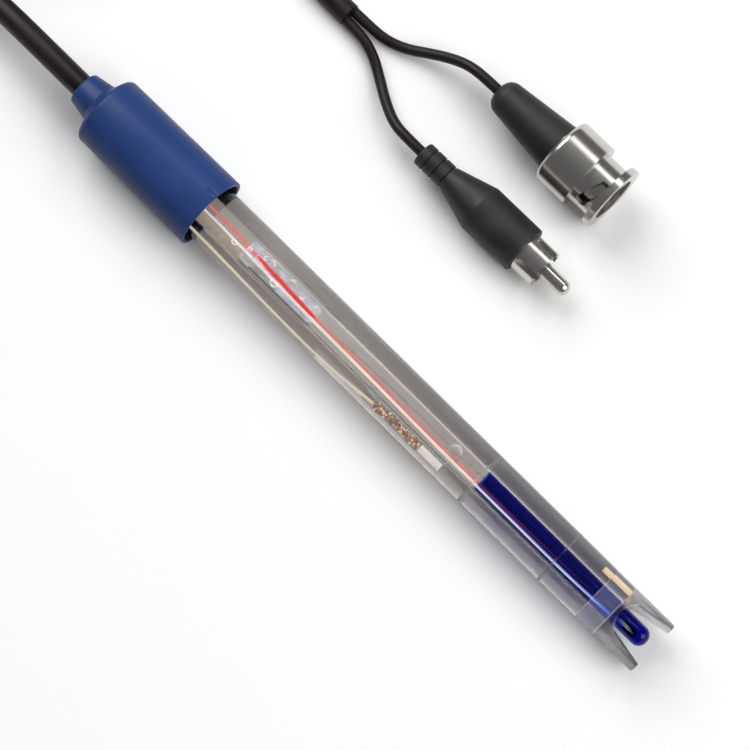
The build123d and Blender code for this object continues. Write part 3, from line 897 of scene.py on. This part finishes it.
# %% [markdown]
# A cutter leaves clear plastic frosted. The cut faces are found by their direction: they look
# sideways, while the tube's own walls look straight outwards or inwards.

# %% Frosted edges where the cutter went
frost_start, frost_end = 110.6, 119.4
least_share = 0.6  # how much of a wall's normal at least lies along the radius
electrode_axes = electrode_place.inverted()
edge_slot = len(tube_piece.data.materials)
tube_piece.data.materials.append(prong_edge)
edge_faces = 0
for face in tube_piece.data.polygons:
    middle = electrode_axes @ face.center
    facing = (electrode_axes.to_3x3() @ face.normal).normalized()
    outward = Vector((0, middle.y, middle.z)).normalized()
    if frost_start < middle.x < frost_end and abs(facing.dot(outward)) < least_share:
        face.material_index = edge_slot
        edge_faces += 1
print("frosted faces", edge_faces)

# %% [markdown]
# The end plug carries the stem and the ceramic pin. It is moulded in a slightly milky plastic and
# bonded to the tube, so the wall between them doesn't show, but its milkiness does.

# %% End plug
skin = 0.01  # keeps two walls that touch from lying in one place
plug_radius = tube_bore - skin
plug_bore = 2.09
inside_plug = (105.01, 109.89)
plug = lathe(
    [
        (plug_start, plug_bore),
        (plug_start, plug_radius),
        (plug_end, plug_radius),
        (plug_end, plug_bore),
    ]
)
round_ring(plug, plug_start, plug_radius, 0.2, 2)
round_ring(plug, plug_end, plug_radius, 0.25, 2)
put(
    "plug",
    plug,
    bonded,
    stands_for=("end_plug",),
    zones=[
        (plug_milky, lambda x, r: (r < 2.2 or r > 4.9) and inside_plug[0] < x < inside_plug[1]),
        (bond_line_and_highlight, lambda x, r: r > 4.6 and (105.01 < x < 105.2 or 109.6 < x < 109.89)),
        (plug_to_gel, lambda x, r: x < inside_plug[0]),
        (plug_to_air, lambda x, r: x > inside_plug[1]),
    ],
)

# %% [markdown]
# The gel fills the shaft between the tube and the stem. It is a closed shape a hair smaller than
# its room, whose surface bends no light, so that only its faint tint is seen.

# %% Gel in the shaft
stem_radius = 2.075
sleeve_radius = 2.45
sleeve_end = 28.5
gel = lathe(
    [
        (-7.0, sleeve_radius + skin),
        (-7.0, tube_bore - skin),
        (plug_start - skin, tube_bore - skin),
        (plug_start - skin, stem_radius + skin),
        (sleeve_end + skin, stem_radius + skin),
        (sleeve_end + skin, sleeve_radius + skin),
    ],
    steps=160,
)
put("gel", gel, gel_tinted, stands_for=("electrolyte_gel",))

# %% [markdown]
# The stem is one piece of blown glass: a straight tube with a thin round bulb at its end. Its
# outline is the outer wall, a quarter ellipse for the bulb, and the same again inside.

# %% Glass stem
stem_bore = 1.72
bulb_bore = 1.835
bulb_x = 116.4
bulb_length = 1.9
bulb_depth = 1.66


def arc(centre_x, radius_x, radius_y, start, end, steps):
    """Points of an ellipse about a point of the axis, from one angle to another."""
    turns = [math.radians(start + (end - start) * i / steps) for i in range(steps + 1)]
    return [(centre_x + radius_x * math.cos(t), radius_y * math.sin(t)) for t in turns]


def in_air(x, r):
    """Whether a face of the stem is on its outer wall past the plug, or on the bulb's outside."""
    half_way = (x - bulb_x) ** 2 / 3.16 + r**2 / 3.82  # 1 on an ellipse in the middle of the glass
    return x > plug_end and (r > 1.86 or x > bulb_x and half_way > 1)


stem = lathe(
    [
        (13.0, stem_bore),
        (13.0, stem_radius),
        (plug_start, stem_radius),
        (plug_end, stem_radius),
        (bulb_x, stem_radius),
    ]
    + arc(bulb_x, bulb_length, stem_radius, 90, 0, 12)[1:]
    + arc(bulb_x, bulb_depth, bulb_bore, 0, 90, 12)
    + [(112.4, bulb_bore), (111.4, stem_bore)],
)
put(
    "stem",
    stem,
    glass_to_gel,
    stands_for=("glass_stem",),
    sharp=60,
    zones=[
        (glass_to_plug, lambda x, r: r > 1.95 and plug_start < x < plug_end),
        (glass_to_air, in_air),
    ],
)

# %% [markdown]
# The bulb and the lower stem hold a blue buffer, whose top sinks in the middle as liquid in a
# thin tube does. Its colour is in its volume, so it is deep where the liquid is thick.

# %% Blue buffer with its meniscus
filling_radius = stem_bore - skin
blue = lathe(
    [
        (74.9, 0),
        (74.9, 0.9),
        (74.7, 1.4),
        (74.3, filling_radius),
        (111.4, filling_radius),
        (112.4, bulb_bore - skin),
    ]
    + arc(bulb_x, bulb_depth - skin, bulb_bore - skin, 90, 0, 12),
)
put("buffer", blue, buffer_blue, stands_for=("buffer_solution",), sharp=80)

# %% [markdown]
# Above the buffer the stem holds a clear filling, whose haze is a thin veil on its surface; the
# veil's glow is painted light that lightens the stem. One air bubble was caught in it, which is
# half an ellipse spun to a small egg.

# %% Clear filling of the stem, with an air bubble
filling = lathe(
    [
        (29.5, 0),
        (29.5, filling_radius),
        (74.2, filling_radius),
        (74.6, 1.4),
        (74.8, 0.9),
        (74.8, 0),
    ]
)
put("stem_filling", filling, haze_and_painted_light, stands_for=("stem_gel",), sharp=80)
bubble = lathe(arc(66.9, 1.65, 1.5, 180, 0, 24), steps=48)
bmesh.ops.translate(bubble, vec=(0, -0.15, 0.05), verts=bubble.verts)
put("air_bubble", bubble, air_in_gel, sharp=80)

# %% [markdown]
# Hazy glue seals the stem's mouth round the wires. On the real one it is bluish and uneven. The
# haze is a noise pattern in the Alpha of a plain solid, longer along the shaft than across it.

# %% Glue with its haze
# The glue's bluish glow is painted light that lightens its haze.
glue_haze_and_painted_light, glue_shader = finish(
    "glue_haze_and_painted_light",
    from_screen(226, 232, 246),
    0.5,
    Emission_Color=(0.7, 0.75, 0.85, 1),
    Emission_Strength=0.6,
)
glue_tree = glue_haze_and_painted_light.node_tree
along_shaft = millimetres(glue_tree, (0.4, 1, 1))
haze = new_node(glue_tree, "ShaderNodeTexNoise", Vector=along_shaft, Scale=0.8, Detail=4.0)
haze_range = new_node(
    glue_tree,
    "ShaderNodeMapRange",
    Value=haze.outputs["Fac"],
    From_Min=0.38,
    From_Max=0.7,
    To_Min=0.12,
    To_Max=0.65,
)
feed(glue_tree, glue_shader.inputs["Alpha"], haze_range.outputs["Result"])

glue = lathe(
    [(10.5, 0), (10.5, 1.8), (12.9, 1.8), (13.1, 1.52), (28.6, 1.52), (29.45, 1.2), (29.45, 0)]
)
put("glue", glue, glue_haze_and_painted_light, stands_for=("seal_glue",))

# %% [markdown]
# Where air was drawn into the glue it left cream curls. Each is a small part ring: a circle spun
# through less than a full turn, then closed at both ends.


# %% Curls in the glue
def curl(x, y, z, radius, thickness, start, sweep):
    """Part of a ring that lies in the XY plane at a place of the electrode."""
    shape = bmesh.new()
    ring = bmesh.ops.create_circle(shape, cap_ends=False, segments=10, radius=thickness)["verts"]
    turn_verts(shape, ring, 90, "X")
    bmesh.ops.translate(shape, vec=(radius, 0, 0), verts=ring)
    turn_verts(shape, ring, start, "Z")
    bmesh.ops.spin(
        shape,
        geom=ring + shape.edges[:],
        axis=(0, 0, 1),
        cent=(0, 0, 0),
        angle=math.radians(sweep),
        steps=20,
    )
    bmesh.ops.holes_fill(shape, edges=[e for e in shape.edges if e.is_boundary], sides=0)
    bmesh.ops.recalc_face_normals(shape, faces=shape.faces)
    bmesh.ops.translate(shape, vec=(x, y, z), verts=shape.verts)
    return shape


curls = {
    "curl_long": (19.0, -0.62, 1.38, 0.95, 0.12, 200, 150),
    "curl_upper": (16.0, 0.66, 1.4, 0.72, 0.13, 10, 120),
    "curl_ring": (14.4, 0.8, 1.38, 0.32, 0.07, 60, 300),
    "curl_mid": (21.4, 0.86, 1.34, 0.5, 0.11, 30, 130),
    "curl_end": (24.8, 0.66, 1.42, 0.5, 0.1, 220, 130),
    "curl_tail": (28.2, 0.6, 1.4, 0.42, 0.1, 40, 150),
    "curl_core": (7.8, -0.42, 1.5, 0.75, 0.11, 200, 140),
    "curl_core_end": (11.0, -0.1, 1.55, 0.45, 0.09, 20, 140),
}
for name, numbers in curls.items():
    put(name, curl(*numbers), curl_cream, sharp=60)

# %% [markdown]
# A clear sleeve holds the stem's top. Above the glue its inner wall carries the same glowing veil
# as the stem's filling, painted light that lightens this stretch, and one extra point in the
# outline says where that veil ends.

# %% Sleeve over the stem
sleeve_top = -18.4
sleeve_bore = 2.1
haze_end = 10.5
sleeve = lathe(
    [
        (sleeve_top, sleeve_bore),
        (sleeve_top, sleeve_radius),
        (sleeve_end, sleeve_radius),
        (sleeve_end, sleeve_bore),
        (haze_end, sleeve_bore),
    ]
)
put(
    "sleeve",
    sleeve,
    sleeve_to_gel,
    stands_for=("stem_sleeve",),
    zones=[(haze_and_painted_light, lambda x, r: r < 2.2 and x < 10.4)],
)

# %% [markdown]
# Two thin wires run to the sensor in the bulb. The red one looks thicker as far as the glue goes,
# because its sheath ends there. Each is a curve whose points carry their own radius. A third
# wire, cream and slightly curved, runs beside the stem to the reference side.


# %% Helper for wires
def wire(name, route, radius, material, *stands_for, slot=None):
    """A smooth wire along (x, y, z, share of the radius) points of the electrode."""
    points = [
        (electrode_place @ Vector((x, y, z)), radius * share * MM) for x, y, z, share in route
    ]
    piece = round_curve(name, points, sides=5, steps=12)
    piece.data.materials.append(material)
    if stands_for:
        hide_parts(*stands_for)
    print(name, len(route), "points")


# %% Wires of the sensor
red_route = [
    (-18.4, 0.72, 1.01, 0.85),
    (2.0, 0.64, 1.05, 0.85),
    (11.0, 0.25, 1.2, 1.1),
    (14.0, 0.06, 1.25, 1.7),
    (22.0, -0.2, 1.3, 1.75),
    (28.5, -0.38, 1.3, 1.6),
    (30.0, -0.41, 1.32, 0.8),
    (35.0, -0.48, 1.35, 0.75),
    (48.0, -0.66, 1.33, 0.75),
    (64.0, -0.83, 1.17, 0.75),
    (78.0, -0.8, 1.13, 0.75),
    (96.0, -0.63, 1.04, 0.75),
    (108.0, -0.31, 0.76, 0.75),
    (113.2, -0.25, 0.35, 1.0),
]
white_route = [
    (-18.4, -0.27, 0.82, 0.8),
    (2.0, -0.32, 0.81, 0.8),
    (22.0, -0.86, 1.14, 1.0),
    (35.0, -0.95, 1.03, 1.0),
    (48.0, -1.04, 0.97, 1.0),
    (64.0, -1.24, 0.86, 1.0),
    (74.0, -1.25, 0.89, 1.0),
    (86.0, -1.25, 0.89, 1.0),
    (94.0, -1.245, 0.837, 1.0),
    (100.0, -1.216, 0.878, 1.0),
    (108.0, -1.011, 0.996, 1.0),
    (113.2, -0.68, 0.35, 1.0),
]
wire("red_wire", red_route, 0.21, red_enamel, "red_lead", slot="red_insulation")
wire("white_wire", white_route, 0.215, white_enamel, "white_lead", slot="white_insulation")

# %% Reference wire
reference_route = [
    (-18.4, -3.6, 0.0, 1.0),
    (2.0, -3.72, 0.0, 1.0),
    (17.0, -4.12, 0.0, 1.0),
    (32.0, -4.42, 0.0, 1.0),
    (43.0, -3.9, 0.0, 1.0),
    (50.0, -3.17, 0.0, 1.0),
]
wire(
    "reference_wire_dressed",
    reference_route,
    0.24,
    cream_enamel,
    "reference_wire",
    slot="silver_wire",
)

# %% [markdown]
# The sensor bead hangs on two bare legs, which show as short gold lines at the bulb's root. They
# are the same kind of curve as the wires, only thinner, and lie just under the bulb's glass with a
# glow, so they also serve as painted glints there.

# %% Bare gold legs of the sensor bead, also painted glints
bead_legs = {
    "bead_leg_near": [
        (111.6, -0.5, 1.3, 1.0),
        (112.7, -0.55, 1.62, 1.0),
        (114.0, -0.5, 1.55, 1.0),
        (114.8, -0.5, 0.6, 1.0),
    ],
    "bead_leg_far": [
        (112.0, -0.75, 1.2, 1.0),
        (113.2, -0.9, 1.5, 1.0),
        (114.6, -0.8, 1.5, 1.0),
        (115.3, -0.6, 0.6, 1.0),
    ],
}
for name, leg_route in bead_legs.items():
    wire(name, leg_route, 0.1, gold_leg_and_glint)

# %% [markdown]
# The reference side ends in a thin glass tube packed with brown silver chloride grains and closed
# with white wool. The grains are small rough lumps: an icosphere pushed about by noise, many
# times. They are bigger at the wire's end, and a seed keeps them the same in each run.

# %% Silver chloride grains
grain_count = 46
fill_start, fill_length = 49.7, 11.4
biggest, shrink = 0.56, 0.14
fill_room = 0.85
capillary_y = -3.15
lumpiness = 0.35

noise.seed_set(11)
grains = bmesh.new()
for i in range(grain_count):
    share = i / (grain_count - 1)
    x = fill_start + fill_length * share
    size = biggest - shrink * share
    shake = noise.noise_vector(Vector((i * 3.7, 1.3, 0.0)))
    room = fill_room - size + 0.3 * max(0, 1 - 4 * share)
    lump = bmesh.ops.create_icosphere(grains, subdivisions=2, radius=size)
    for vertex in lump["verts"]:
        vertex.co *= 1 + lumpiness * noise.noise(vertex.co * 3 + Vector((i, 0, 0)))
    spot = Vector((x, capillary_y + room * 1.6 * shake.y, room * 1.6 * shake.z + 0.1))
    bmesh.ops.translate(grains, verts=lump["verts"], vec=spot)


def is_painted_glint(x, r):
    """Whether a face of the grains is in one of their pale patches, which are painted glints."""
    return noise.noise(Vector((2.1 * x, 3.3 * r, 0.5))) > 0.22


put(
    "chloride_grains",
    grains,
    chloride_brown,
    stands_for=("chloride_fill",),
    sharp=80,
    zones=[(cream_enamel, is_painted_glint)],
)

# %% [markdown]
# The solids whose shape is already right stay as they are and only get their finish: the plugs'
# metal and plastic pieces, the core with its wire, the bead, the capillary, the wool and the pin.

# %% Dress the solids that keep their own shape
dressed = {
    "cable_tail": cable_black,
    "head_resin": resin_dark,
    "shaft_bung": resin_dark,
    "core_sleeve": core_grey,
    "inner_wire": silver_dull,
    "sensor_bead": bead_black,
    "reference_capillary": glass_to_gel,
    "wool_plug": wool_white,
    "ceramic_junction": ceramic_cream,
    "bayonet_boot": boot_black,
    "bayonet_body": nickel,
    "bayonet_insulator": insulator_white,
    "bayonet_pin": gold,
    "bayonet_gasket": gasket_red,
    "bayonet_spring": nickel,
    "bayonet_nut": nickel,
    "phono_shell": boot_black,
    "phono_ring": nickel,
    "phono_insulator": insulator_white,
    "phono_pin": nickel,
}
for node_name, material in dressed.items():
    mesh = nodes[node_name].data
    mesh.materials.clear()
    mesh.materials.append(material)
for cord in cords:
    cord.data.materials.append(cable_black)
print("dressed solids", len(dressed), "and cords", len(cords))
